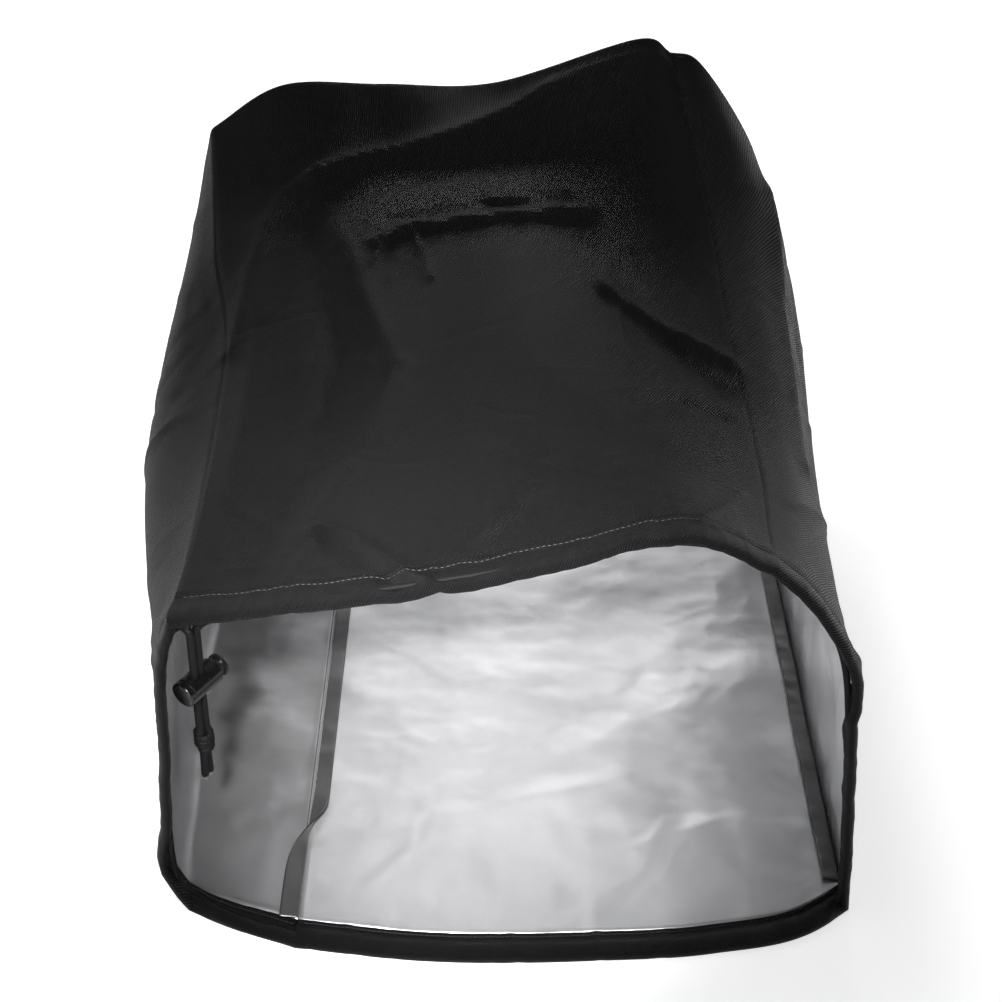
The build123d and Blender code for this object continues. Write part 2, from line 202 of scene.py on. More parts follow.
def thread_material():
    mat, tree, shader = material("sewing_thread")
    place = node(tree, "ShaderNodeTexCoord").outputs["Object"]
    twist = noise_at(tree, place, 5000.0, 2.0)
    colour = mixed(tree, ramp(tree, twist, 0.3, 0.7), (0.006, 0.006, 0.006, 1), (0.03, 0.03, 0.032, 1))
    tree.links.new(colour, shader.inputs["Base Color"])
    shader.inputs["Roughness"].default_value = 0.5
    return mat


def gloss_plastic(name, base, roughness):
    mat, tree, shader = material(name)
    place = node(tree, "ShaderNodeTexCoord").outputs["Object"]
    wear = noise_at(tree, place, 260.0, 4.0, 0.6)
    grain = noise_at(tree, place, 3000.0, 2.0)
    colour = mixed(tree, ramp(tree, wear, 0.35, 0.7), (base, base, base * 1.05, 1),
                   (base * 1.6, base * 1.6, base * 1.7, 1))
    tree.links.new(colour, shader.inputs["Base Color"])
    tree.links.new(ramp(tree, wear, 0.3, 0.75, roughness, roughness + 0.1), shader.inputs["Roughness"])
    bump = node(tree, "ShaderNodeBump", {"Strength": 0.06, "Distance": 0.0001, "Height": grain})
    tree.links.new(bump.outputs["Normal"], shader.inputs["Normal"])
    return mat


def steel():
    mat, tree, shader = material("spring_steel")
    place = node(tree, "ShaderNodeTexCoord").outputs["Object"]
    drawn = noise_at(tree, place, 2500.0, 3.0)
    tree.links.new(ramp(tree, drawn, 0.3, 0.7, 0.25, 0.4), shader.inputs["Roughness"])
    shader.inputs["Base Color"].default_value = (0.5, 0.5, 0.51, 1)
    shader.inputs["Metallic"].default_value = 1.0
    return mat


TWILL = black_twill()
SILVER = silver_coating("silver_coating", 0.78, 0.88)
# A darker copy of the silver lining: painted shade for the inside of the left side panel.
SHADED_SILVER_LEFT = silver_coating("shaded_silver_coating", 0.38, 0.5)
# A darker copy of the silver lining for the seam allowances: painted shade.
SHADED_STRIP_SILVER = silver_coating("shaded_seam_silver_coating", 0.13, 0.2)
CORD = cord_fibre()
THREAD = thread_material()
FRAY = pale_fibre()
BARREL = gloss_plastic("lock_barrel_plastic", 0.002, 0.2)
BUTTON = gloss_plastic("lock_button_plastic", 0.003, 0.24)


# ------------------------------------------------------------------ mesh helpers
def new_object(name, verts, faces, materials, weave=None):
    mesh = bpy.data.meshes.new(name)
    mesh.from_pydata([tuple(v) for v in verts], [], [tuple(f) for f in faces])
    for mat in materials:
        mesh.materials.append(mat)
    mesh.polygons.foreach_set("use_smooth", [True] * len(mesh.polygons))
    if weave is not None:
        layer = mesh.attributes.new("weave", "FLOAT_VECTOR", "POINT")
        layer.data.foreach_set("vector", np.asarray(weave, float).ravel())
    mesh.update()
    made = bpy.data.objects.new(name, mesh)
    bpy.context.scene.collection.objects.link(made)
    return made


def grid_faces(rows, columns, flip=False):
    faces = []
    for i in range(rows - 1):
        for j in range(columns - 1):
            a = i * columns + j
            quad = (a, a + 1, a + columns + 1, a + columns)
            faces.append(quad[::-1] if flip else quad)
    return faces


def thicken(made, thickness, inner_material, rim_material=0):
    """Gives a cloth sheet its thickness, the inner face and the raw edge in other materials."""
    solid = made.modifiers.new("thickness", "SOLIDIFY")
    solid.thickness = thickness
    solid.offset = -1
    solid.material_offset = inner_material
    solid.material_offset_rim = rim_material
    solid.use_quality_normals = True
    depsgraph = bpy.context.evaluated_depsgraph_get()
    mesh = bpy.data.meshes.new_from_object(made.evaluated_get(depsgraph))
    made.modifiers.clear()
    made.data = mesh


def hermite(knots, values, at):
    """A smooth curve through values at knots, read at other places."""
    knots = np.asarray(knots, float)
    values = np.asarray(values, float)
    at = np.asarray(at, float)
    steps = np.diff(knots)
    slopes = np.diff(values, axis=0) / steps[:, None]
    tangents = np.empty_like(values)
    tangents[0], tangents[-1] = slopes[0], slopes[-1]
    weight = steps[:-1, None]
    weight_after = steps[1:, None]
    tangents[1:-1] = (slopes[:-1] * weight_after + slopes[1:] * weight) / (weight + weight_after)
    i = np.clip(np.searchsorted(knots, at, side="right") - 1, 0, len(steps) - 1)
    h = steps[i][:, None]
    t = ((at - knots[i]) / steps[i])[:, None]
    return ((2 * t ** 3 - 3 * t ** 2 + 1) * values[i] + (t ** 3 - 2 * t ** 2 + t) * h * tangents[i]
            + (3 * t ** 2 - 2 * t ** 3) * values[i + 1] + (t ** 3 - t ** 2) * h * tangents[i + 1])


# ------------------------------------------------------------------ the cover's control lines
# Each line runs from the hem's fold edge at the mouth (x, y, z), through (x, z) at these y.
STATION_Y = (45, 130, 220, 310, 400, 450, 500)
# Chosen after sections that scratch scripts printed for the solved camera, then adjusted by hand.
WALLS = {
    "front_left_seam": ((-195, 2, 227), (-192, 231), (-190, 236), (-191, 242), (-194, 256), (-210, 279),
                        (-216, 302), (-222, 336)),
    "left_shoulder": ((-205, 3, 188), (-208, 190), (-226, 192), (-240, 200), (-246, 212), (-243, 235),
                      (-240, 250), (-234, 275)),
    "left_mid": ((-208, 6, 128), (-214, 125), (-229, 125), (-240, 130), (-245, 135), (-243, 145),
                 (-238, 150), (-232, 165)),
    "left_low": ((-213, 9, 68), (-216, 65), (-225, 62), (-233, 62), (-237, 64), (-236, 66), (-231, 70),
                 (-224, 75)),
    "left_heel": ((-213, 10, 12), (-214, 9), (-219, 9), (-226, 9), (-229, 9), (-226, 9), (-221, 9),
                  (-215, 9)),
    "left_foot": ((-201, 2, 0), (-206, 0), (-211, 0), (-218, 0), (-221, 0), (-218, 0), (-213, 0),
                  (-207, 0)),
    "left_back_seam": ((-129.5, -32, 0),) + ((-129.5, 0),) * 7,
    "right_back_seam": ((223.5, 2, 0),) + ((223.5, 0),) * 7,
    "right_low": ((222, 7, 60), (220, 58), (222, 55), (224, 55), (226, 60), (227, 60), (226, 65),
                  (223, 70)),
    "right_mid": ((217, 4, 130), (214, 125), (219, 120), (223, 120), (226, 130), (227, 140), (226, 150),
                  (218, 175)),
    "right_shoulder": ((208, 2, 201), (205, 204), (208, 200), (211, 203), (213, 222), (214, 250),
                       (208, 285), (188, 332)),
    "right_crest": ((186, 3, 236), (182, 238), (189, 230), (193, 230), (192, 250), (186, 288),
                    (178, 326), (150, 388)),
    "front_right_seam": ((159, 4, 264), (160, 256), (165, 246), (165, 248), (158, 272), (151, 313),
                         (141, 346), (127, 397)),
    "front_c": ((107, 1, 287), (107, 283), (107, 268), (107, 270), (107, 292), (107, 328), (106, 360),
                (103, 407)),
    "front_b": ((33, 0, 269), (33, 268), (33, 264), (33, 272), (33, 296), (31, 330), (24, 347), (-5, 373)),
    "front_a": ((-41, 0, 251), (-41, 251), (-41, 257), (-41, 270), (-42, 294), (-48, 328), (-62, 341),
                (-90, 372)),
    "front_edge": ((-120, 0, 240), (-120, 240), (-119, 250), (-117, 266), (-117, 290), (-124, 322),
                   (-134, 339), (-165, 371)),
}
BACK_HEM = ((-129.5, -32), (-53, -43), (62, -43), (132, -37), (201, -16), (223.5, 2))
NAMES = list(WALLS)
# panel: its first seam, its last seam, its hem, and the seed of its gathers
PANELS = {
    "left_side_panel": ("front_left_seam", "left_back_seam", "left_hem", 3),
    "back_panel": ("left_back_seam", "right_back_seam", "back_hem", 5),
    "right_side_panel": ("right_back_seam", "front_right_seam", "right_hem", 8),
    "front_panel": ("front_right_seam", "front_left_seam", "front_hem", 12),
}
STEP = 3.6               # mesh spacing in the cloth
HEM_STEP = 2.2
HEM_END = 27.0           # fold edge to where the hem gives way to the plain panel
STITCH_B = 23.6          # fold edge to the hem's stitch line
CLOTH_T = 0.0004
SIDE_GATHERS = 0.45      # how strong the side panels' puckers are
# The left side panel's lining takes the darker silver copy, which is painted shade.
LININGS = {"left_side_panel": SHADED_SILVER_LEFT}
# Section of the folded hem: b from the fold edge, v inwards from the outer face.
HEM_PROFILE = ((27.0, 0.0), (25.3, 0.1), (23.6, 0.45), (21.5, 0.0), (17.5, -0.3), (13.5, -0.8), (9.5, -1.0),
               (5.0, -0.6), (1.6, 0.5), (0.2, 2.2), (0.2, 3.9), (1.7, 5.4), (5.0, 6.1), (9.5, 6.3), (13.5, 5.6),
               (17.5, 3.7), (21.5, 1.9), (23.6, 1.3), (25.3, 1.6), (26.2, 1.7))


# ------------------------------------------------------------------ folds in the cloth
# A fold is (height, half width, points along it), in millimetres; a negative one is a valley.
# Most lines of TOP_FOLDS are what a scratch script printed: spots picked on the photo, cast through
# the solved camera on to the front panel. A few were then moved.
TOP_FOLDS = [
    # the crest behind the sagging middle, and its apex at the left
    (5.5, 9, ((-137, 428), (-75, 447), (-12, 468), (39, 487), (124, 490))),
    (-5.0, 22, ((-120, 400), (-50, 420), (20, 440), (90, 452))),
    (3.0, 7, ((-137, 428), (-161, 421), (-183, 366), (-190, 290))),
    # the soft ridge down the left edge, and the dark hollow beside it
    (3.6, 13, ((-176, 400), (-172, 303), (-172, 168), (-171, 48))),
    (-8.0, 24, ((-138, 380), (-112, 252), (-122, 152), (-150, 56))),
    (3.6, 9, ((-137, 423), (-107, 348), (-70, 236))),
    (2.4, 9, ((-70, 236), (-90, 147), (-120, 82), (-141, 43))),
    # creases round the middle of the panel
    (3.4, 4, ((-93, 352), (-65, 366), (6, 374), (67, 380))),
    (-2.6, 7, ((-80, 374), (-30, 384), (50, 392))),
    (2.4, 3.4, ((-65, 364), (-54, 340), (-50, 321))),
    (2.0, 3.4, ((-79, 356), (-92, 333))),
    (1.8, 3.4, ((-8, 394), (21, 391), (57, 379))),
    (3.4, 5, ((69, 312), (112, 276), (160, 265))),
    (-4.6, 14, ((78, 300), (110, 258), (152, 238))),
    (2.0, 4.5, ((76, 317), (81, 267), (95, 206))),
    (-2.0, 5, ((87, 187), (117, 200), (148, 200))),
    (-3.8, 12, ((9, 146), (34, 126), (69, 92))),
    (2.8, 5, ((21, 97), (5, 66), (-7, 48))),
    (2.2, 5, ((68, 121), (61, 53))),
    (2.6, 5, ((115, 28), (137, 66), (147, 96))),
    (3.0, 30, ((0, 330), (20, 240), (90, 150))),
    # the twist in the hem and its neighbours
    (3.4, 4, ((-113, 81), (-95, 73), (-75, 50), (-56, 23), (-29, -7))),
    (-2.6, 5, ((-112, 70), (-94, 60), (-78, 38), (-60, 12))),
    (2.0, 4, ((-125, 35), (-115, 67), (-113, 81))),
    (2.2, 4, ((-24, 27), (-9, 38), (-1, 62))),
    (2.2, 4, ((5, 71), (17, 29))),
    (1.8, 3.4, ((45, 9), (59, 0), (76, 5))),
]
RIGHT_FOLDS = [
    (3.2, 7, ((470, 300), (400, 262), (300, 232), (200, 214))),
    (-2.6, 9, ((480, 268), (400, 236), (310, 208), (210, 196))),
    (3.4, 8, ((469, 40), (360, 82), (257, 119), (170, 146), (88, 165))),
    (-3.0, 8, ((450, 22), (340, 62), (240, 98), (90, 140))),
    (2.2, 6, ((120, 236), (180, 180), (250, 100), (300, 30))),
    (2.4, 6, ((20, 190), (70, 130), (110, 60), (130, 10))),
    (-2.0, 6, ((10, 150), (50, 96), (84, 30))),
    (2.0, 7, ((400, 200), (330, 150), (280, 90))),
]
LEFT_FOLDS = [
    (3.0, 8, ((480, 250), (400, 200), (300, 160), (180, 130), (60, 110))),
    (-2.8, 9, ((470, 215), (380, 165), (280, 128), (150, 100))),
    (2.6, 8, ((30, 210), (90, 150), (150, 80), (190, 20))),
    (2.2, 7, ((430, 230), (400, 140), (390, 40))),
    (-2.0, 6, ((60, 200), (110, 130), (160, 50))),
    (1.8, 6, ((250, 225), (240, 160), (260, 80))),
]
FLOOR_FOLDS = [
    (3.0, 26, ((64, 172), (147, 224), (200, 250))),
    (1.1, 11, ((-60, 84), (40, 118), (150, 156))),
    (1.2, 5, ((-90, 20), (-60, 60), (-50, 120))),
    (1.2, 5, ((40, -10), (90, 40), (110, 90))),
    (1.0, 9, ((60, 50), (150, 90), (212, 80))),
    (1.2, 5, ((-180, 20), (-160, 70), (-150, 140))),
    (1.2, 5, ((-190, 90), (-165, 120), (-140, 130))),
]


def scattered(seed, count, u_span, v_span, lengths, widths, heights):
    """Short random creases over a rectangle of cloth, each bent once."""
    rng = random.Random(seed)
    folds = []
    for _ in range(count):
        u = rng.uniform(*u_span)
        v = rng.uniform(*v_span)
        turn = rng.uniform(0, math.tau)
        length = rng.uniform(*lengths) / 2
        bend = turn + rng.uniform(-0.5, 0.5)
        height = rng.uniform(*heights) * rng.choice((-1, 1))
        line = ((u - length * math.cos(turn), v - length * math.sin(turn)), (u, v),
                (u + length * math.cos(bend), v + length * math.sin(bend)))
        folds.append((height, rng.uniform(*widths), line))
    return folds


TOP_FOLDS += scattered(21, 46, (-180, 150), (20, 490), (20, 80), (2.2, 5.0), (0.15, 0.55))
TOP_FOLDS += scattered(22, 26, (-110, 130), (330, 470), (16, 60), (2.2, 4.0), (0.3, 0.8))
RIGHT_FOLDS += scattered(23, 46, (10, 490), (10, 320), (24, 90), (2.6, 6.0), (0.3, 1.1))
LEFT_FOLDS += scattered(24, 46, (10, 490), (10, 300), (24, 90), (2.6, 6.0), (0.3, 1.1))
FLOOR_FOLDS += scattered(25, 90, (-200, 215), (-10, 490), (18, 70), (1.8, 4.0), (0.15, 0.5))


def smooth(low, high, value):
    """0 below low, 1 above high, and a smooth step between."""
    t = np.clip((np.asarray(value, float) - low) / (high - low), 0, 1)
    return t * t * (3 - 2 * t)


def fold_height(folds, u, v):
    """The summed height of folds at places (u, v)."""
    total = np.zeros_like(u)
    for height, width, line in folds:
        nearest = np.full_like(u, 1e6)
        for (u0, v0), (u1, v1) in zip(line, line[1:]):
            du = u1 - u0
            dv = v1 - v0
            t = np.clip(((u - u0) * du + (v - v0) * dv) / (du * du + dv * dv), 0, 1)
            nearest = np.minimum(nearest, np.hypot(u - u0 - t * du, v - v0 - t * dv))
        total += height * np.exp(-(nearest / width) ** 1.4)
    return total


def shape_cloth(points):
    """The real cloth's folds, as moves of the smooth surface in the cover's own axes."""
    x, y, z = points[..., 0], points[..., 1], points[..., 2]
    lift = fold_height(TOP_FOLDS, x, y) * smooth(140, 225, z)
    right = fold_height(RIGHT_FOLDS, y, z) * smooth(150, 205, x) * smooth(0, 30, z)
    left = fold_height(LEFT_FOLDS, y, z) * smooth(165, 210, -x) * smooth(0, 30, z)
    floor_lift = np.abs(fold_height(FLOOR_FOLDS, x, y)) * (1 - smooth(0, 14, z))
    closed = 1 - smooth(485, 500, y)
    moved = points.copy()
    moved[..., 0] += (right - left) * closed
    moved[..., 2] = np.maximum(z + (lift + floor_lift) * closed, 0)
    return moved


# ------------------------------------------------------------------ panel surfaces
def line_points(name):
    """One control line as 3-D points, mouth first."""
    first, *others = WALLS[name]
    return [first] + [(x, y, z) for (x, z), y in zip(others, STATION_Y)]


def line_columns(panel):
    """The control lines of one panel, in order across it."""
    if panel == "back_panel":
        return [[(x, y, 0)] + [(x, station, 0) for station in STATION_Y] for x, y in BACK_HEM]
    first, last = PANELS[panel][:2]
    start = NAMES.index(first)
    order = NAMES[start:] + NAMES[:start]
    return [line_points(name) for name in order[:order.index(last) + 1]]


def unit(vectors):
    return vectors / np.maximum(np.linalg.norm(vectors, axis=-1, keepdims=True), 1e-9)


class Surface:
    """A panel's outer face: a in mm across it, b in mm from the hem's fold edge."""

    def __init__(self, panel):
        self.panel = panel
        self.first, self.last, self.hem, seed = PANELS[panel]
        columns = np.array(line_columns(panel), float)
        reach = columns[:, 1] - columns[:, 0]
        hem_end = columns[:, 0] + unit(reach) * HEM_END
        self.columns = np.concatenate([columns[:, :1], hem_end[:, None], columns[:, 1:]], axis=1)
        near = float(np.linalg.norm(reach, axis=1).mean())
        self.b_knots = np.concatenate([[0, HEM_END], near - STATION_Y[0] + np.array(STATION_Y)])
        self.length = self.b_knots[-1]
        middle = columns[:, 3, :]
        self.a_knots = np.concatenate([[0], np.cumsum(np.linalg.norm(np.diff(middle, axis=0), axis=1))])
        self.width = self.a_knots[-1]
        self.gathers = self.make_gathers(seed)

    def make_gathers(self, seed):
        """Short puckers drawn up by the hem's stitch line."""
        rng = random.Random(seed)
        gathers = []
        a = rng.uniform(6, 12)
        while a < self.width - 8:
            lean = rng.uniform(-9, 9)
            far = rng.choice((20, 28, 38, 60))
            height = rng.uniform(0.5, 1.3) * rng.choice((-0.7, 1, 1))
            height *= SIDE_GATHERS if "side" in self.panel else 1.0
            gathers.append((height, rng.uniform(2.4, 4.6), ((a, 3), (a + lean * 0.3, 18), (a + lean, far))))
            a += rng.uniform(8, 17)
        return gathers

    def base(self, a_values, b_values):
        along = np.stack([hermite(self.b_knots, column, b_values) for column in self.columns])
        rows = [hermite(self.a_knots, along[:, j, :], a_values) for j in range(len(b_values))]
        return np.stack(rows, axis=1)

    def frame(self, a_values, b_values):
        """Points of the folded cloth and its outward normals, at every a and b."""
        a_values = np.asarray(a_values, float)
        b_values = np.asarray(b_values, float)
        base = self.base(a_values, b_values)
        along = self.base(a_values, b_values + 0.5) - base
        across = self.base(a_values + 0.5, b_values) - base
        across[-1] = base[-1] - self.base(a_values[-1:] - 0.5, b_values)[0]
        normals = unit(np.cross(along, across))
        for seam, near_seam in ((self.first, a_values), (self.last, self.width - a_values)):
            share = (1 - smooth(0, 16, near_seam))[:, None, None]
            if seam in CORNERS:
                normals = normals * (1 - share) + CORNERS[seam] * share
        grid_a, grid_b = np.meshgrid(a_values, b_values, indexing="ij")
        gather = fold_height(self.gathers, grid_a, grid_b)
        edge = np.minimum(grid_a, self.width - grid_a)
        gather = gather * smooth(0, 12, edge)
        seam_dip = 0.7 * np.exp(-(edge / 2.2) ** 2) * smooth(HEM_END, HEM_END + 8, grid_b)
        points = shape_cloth(base) + normals * (gather - seam_dip)[..., None]
        points[..., 2] = np.maximum(points[..., 2], 0)
        return points, normals


CORNERS = {}
SURFACES = {panel: Surface(panel) for panel in PANELS}


def corner_normal(seam):
    """The outward direction at a seam, shared by the two panels that meet there."""
    ends = []
    for surface in SURFACES.values():
        if surface.first == seam:
            ends.append(surface.frame([0.0], [10.0])[1][0, 0])
        if surface.last == seam:
            ends.append(surface.frame([surface.width - 1, surface.width], [10.0])[1][-1, 0])
    middle = unit(ends[0] + ends[1])
    return middle * min(1.25, 1 / max(0.5, float(middle @ ends[0])))


CORNERS = {surface.first: corner_normal(surface.first) for surface in SURFACES.values()}


def spaced(low, high, step):
    return np.linspace(low, high, max(2, int(round((high - low) / step)) + 1))


def weave_of(a_values, b_values):
    """Where each point of a grid lies in the flat cloth, in metres."""
    grid = np.broadcast_arrays(a_values[:, None] * MM, b_values[None, :] * MM, 0.0)
    return np.stack(grid, axis=-1).reshape(-1, 3)


def finish_piece(made, node_name):
    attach(made, "cover")
    if node_name:
        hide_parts(node_name)
    return made


# ------------------------------------------------------------------ panels
def make_panel(surface):
    a_values = spaced(0, surface.width, STEP)
    b_values = spaced(HEM_END, surface.length, STEP)
    points, _ = surface.frame(a_values, b_values)
    made = new_object("cloth_" + surface.panel, world(points.reshape(-1, 3)),
                      grid_faces(len(a_values), len(b_values)), [TWILL, LININGS.get(surface.panel, SILVER)],
                      weave=weave_of(a_values, b_values))
    thicken(made, CLOTH_T, 1)
    return finish_piece(made, surface.panel), points[:, -1]


CLOTH = {}
end_loop = []
for panel_name, panel_surface in SURFACES.items():
    CLOTH[panel_name], closed_edge = make_panel(panel_surface)
    end_loop.append(closed_edge[:-1])


def make_closed_end():
    """The closed end, sewn round the last edge of the four panels."""
    loop = np.concatenate(end_loop)
    if np.cross(loop, np.roll(loop, -1, axis=0)).sum(axis=0)[1] < 0:
        loop = loop[::-1]
    count = len(loop)
    middle = loop.mean(axis=0)
    rings = []
    for share in spaced(1.0, 0.02, -0.02):
        ring = middle + (loop - middle) * share
        swell = fold_height(END_FOLDS, ring[:, 0], ring[:, 2])
        ring[:, 1] += smooth(0, 0.06, 1 - share) + 0.8 * swell * smooth(0, 0.3, 1 - share)
        rings.append(ring)
    faces = []
    for start in range(0, (len(rings) - 1) * count, count):
        for k in range(count):
            after = (k + 1) % count
            faces.append((start + k, start + after, start + count + after, start + count + k))
    faces.append(tuple(range((len(rings) - 1) * count, len(rings) * count)))
    points = np.concatenate(rings)
    weave = np.stack([points[:, 0] * MM, points[:, 2] * MM, 0 * points[:, 0]], axis=-1)
    made = new_object("cloth_top_panel", world(points), faces, [TWILL, SILVER], weave=weave)
    thicken(made, CLOTH_T, 1)
    return finish_piece(made, "top_panel")


END_FOLDS = scattered(26, 40, (-200, 190), (10, 360), (30, 120), (3.0, 8.0), (0.4, 1.6))
CLOTH["top_panel"] = make_closed_end()


# ------------------------------------------------------------------ hems
def make_hem(surface):
    profile = np.array(HEM_PROFILE)
    knots = np.concatenate([[0], np.cumsum(np.linalg.norm(np.diff(profile, axis=0), axis=1))])
    places = spaced(0, knots[-1], 1.5)
    section = hermite(knots, profile, places)
    a_values = spaced(0, surface.width, HEM_STEP)
    points, normals = surface.frame(a_values, section[:, 0])
    points = points - normals * section[None, :, 1:2]
    points[..., 2] = np.maximum(points[..., 2], 0)
    faces = grid_faces(len(a_values), len(places), flip=True)
    made = new_object("cloth_" + surface.hem, world(points.reshape(-1, 3)), faces, [TWILL, SILVER],
                      weave=weave_of(a_values, -places))
    thicken(made, CLOTH_T, 1)
    return finish_piece(made, surface.hem)


for panel_name, panel_surface in SURFACES.items():
    CLOTH[panel_surface.hem] = make_hem(panel_surface)


# ------------------------------------------------------------------ stitches
def stitch_rows(name, rows, length, pitch, thick, node_name):
    """Rows of single stitches, each a small rounded bar along its row."""
    verts = []
    faces = []
    ring = 6
    profile = ((-0.5, 0.0), (-0.46, 0.7), (-0.2, 1.0), (0.2, 1.0), (0.46, 0.7), (0.5, 0.0))
    for points, normals in rows:
        steps = np.linalg.norm(np.diff(points, axis=0), axis=1)
        along = np.concatenate([[0], np.cumsum(steps)])
        for place in np.arange(pitch, along[-1] - pitch / 2, pitch):
            here = np.array([np.interp(place, along, points[:, k]) for k in range(3)])
            ahead = np.array([np.interp(place + 0.4, along, points[:, k]) for k in range(3)])
            out = unit(np.array([np.interp(place, along, normals[:, k]) for k in range(3)]))
            tangent = unit(ahead - here)
            side = unit(np.cross(tangent, out))
            start = len(verts)
            for reach, swell in profile:
                sink = -0.22 * (1 - swell)
                for k in range(ring):
                    turn = math.tau * k / ring
                    offset = side * math.cos(turn) * thick / 2 * max(swell, 0.05)
                    offset = offset + out * (math.sin(turn) * thick / 2 * max(swell, 0.05) + sink)
                    verts.append(here + tangent * reach * length + offset)
            for j in range(len(profile) - 1):
                for k in range(ring):
                    a = start + j * ring + k
                    b = start + j * ring + (k + 1) % ring
                    faces.append((a, b, b + ring, a + ring))
    made = new_object(name, world(np.array(verts)), faces, [THREAD])
    finish_piece(made, node_name)


# length, pitch and thickness of a stitch
HEM_STITCH = (2.9, 3.4, 0.8)
SEAM_STITCH = (2.7, 3.2, 0.8)


def hem_row(surface, sink):
    points, normals = surface.frame(spaced(2, surface.width - 2, 3.0), [STITCH_B])
    return points[:, 0] - normals[:, 0] * sink, normals[:, 0] * (1 if sink < 1 else -1)


hem_rows = [hem_row(surface, 0.2) for surface in SURFACES.values()]
hem_rows += [hem_row(surface, 1.5) for surface in SURFACES.values()]
stitch_rows("hem_stitches", hem_rows, *HEM_STITCH, "hem_thread")


# ------------------------------------------------------------------ seam allowances
STRIP_W = 12.0
STRIP_T = 0.0007


def strip(name, rows, node_name):
    """A narrow raw-edged strip from rows of points, each row across it."""
    grid = np.array(rows)
    across = np.concatenate([[0], np.cumsum(np.linalg.norm(np.diff(grid[0], axis=0), axis=1))])
    along = np.concatenate([[0], np.cumsum(np.linalg.norm(np.diff(grid[:, 0], axis=0), axis=1))])
    # Both faces of the strip take the darker silver copy, which is painted shade.
    made = new_object(name, world(grid.reshape(-1, 3)), grid_faces(len(rows), len(rows[0])),
                      [SHADED_STRIP_SILVER, TWILL], weave=weave_of(along, across))
    thicken(made, STRIP_T, 0, 1)
    return finish_piece(made, node_name)


def wave(seed, reach):
    """A gentle irregular wave along a strip."""
    rng = random.Random(seed)
    parts = [(rng.uniform(22, 60), rng.uniform(0, math.tau), rng.uniform(0.4, 1.0)) for _ in range(5)]

    def sway(place):
        return reach * sum(size * np.sin(math.tau * place / pitch + phase) for pitch, phase, size in parts) / 3

    return sway


def floor_height(x, y):
    """Just above the folded cloth on the floor."""
    return shape_cloth(np.stack([x, y, 0 * x], axis=-1))[..., 2] + 0.9


def left_back_strip():
    """Lies to the right of its seam, and turns over to the left as it nears the mouth."""
    sway = wave(31, 1.2)
    reach, y = np.meshgrid(spaced(0, STRIP_W, 1.5), spaced(-4, 497, 3.0))
    turned = math.pi * 0.94 * (1 - smooth(24, 120, y)) + 0.06
    x = SEAM_LEFT - 0.6 + reach * np.cos(turned)
    loose = np.maximum(sway(y), 0) * reach / STRIP_W
    z = floor_height(x, y) + reach * np.sin(turned) * 0.8 + loose
    return np.stack([x, y, z], axis=-1)


def right_back_strip():
    sway = wave(32, 1.2)
    reach, y = np.meshgrid(spaced(0, STRIP_W, 1.5), spaced(30, 497, 3.0))
    x = SEAM_RIGHT - 1.0 - reach
    z = floor_height(x, y) + (0.12 + 0.1 * np.abs(sway(y))) * reach
    return np.stack([x, y, z], axis=-1)[:, ::-1]


def hanging_rows(surface, at_width, side, seed):
    """A strip that hangs inside a front seam."""
    sway = wave(seed, 1.0)
    b_values = spaced(HEM_END + 2, surface.length - 3, 4.0)
    points, normals = surface.frame([at_width - 1, at_width] if at_width else [0.0, 1.0], b_values)
    edge = points[-1 if at_width else 0]
    rows = []
    for place, point in zip(b_values, edge):
        row = []
        for reach in spaced(0, STRIP_W, 2.0):
            lean = side * (1.6 + 0.16 * reach + 0.06 * sway(place) * reach)
            row.append(point + np.array([lean, 0, -1.6 - reach]))
        rows.append(row if side > 0 else row[::-1])
    return rows


def end_rows():
    """The allowance of the closed end's seam, lying against its inside."""
    sway = wave(35, 0.8)
    loop = np.concatenate(end_loop)
    middle = loop.mean(axis=0)
    rows = []
    for i, point in enumerate(np.concatenate([loop, loop[:1]])):
        inward = unit(middle - point)
        row = []
        for reach in spaced(0, STRIP_W, 2.0):
            place = point + inward * (2.4 + reach)
            place[1] = 498.6 - reach * (0.12 + 0.03 * sway(i * STEP))
            row.append(place)
        rows.append(row)
    return rows


front_surface = SURFACES["front_panel"]
strip("allowance_left_back", left_back_strip(), "left_back_seam_allowance")
strip("allowance_right_back", right_back_strip(), "right_back_seam_allowance")
strip("allowance_left_front", hanging_rows(front_surface, front_surface.width, 1, 33),
      "left_front_seam_allowance")
strip("allowance_right_front", hanging_rows(front_surface, 0, -1, 34), "right_front_seam_allowance")
strip("allowance_closed_end", end_rows(), "closed_end_seam_allowance")


def row_on(rows, column, lift):
    """A row of stitches along one column of a strip."""
    points = np.array([row[column] for row in rows], float)
    across = unit(np.array([row[1] for row in rows], float) - np.array([row[0] for row in rows], float))
    along = unit(np.gradient(points, axis=0))
    normals = unit(np.cross(along, across))
    normals *= np.sign((normals * np.array(lift)).sum(axis=1, keepdims=True) + 1e-6)
    return points + normals * 0.75, normals


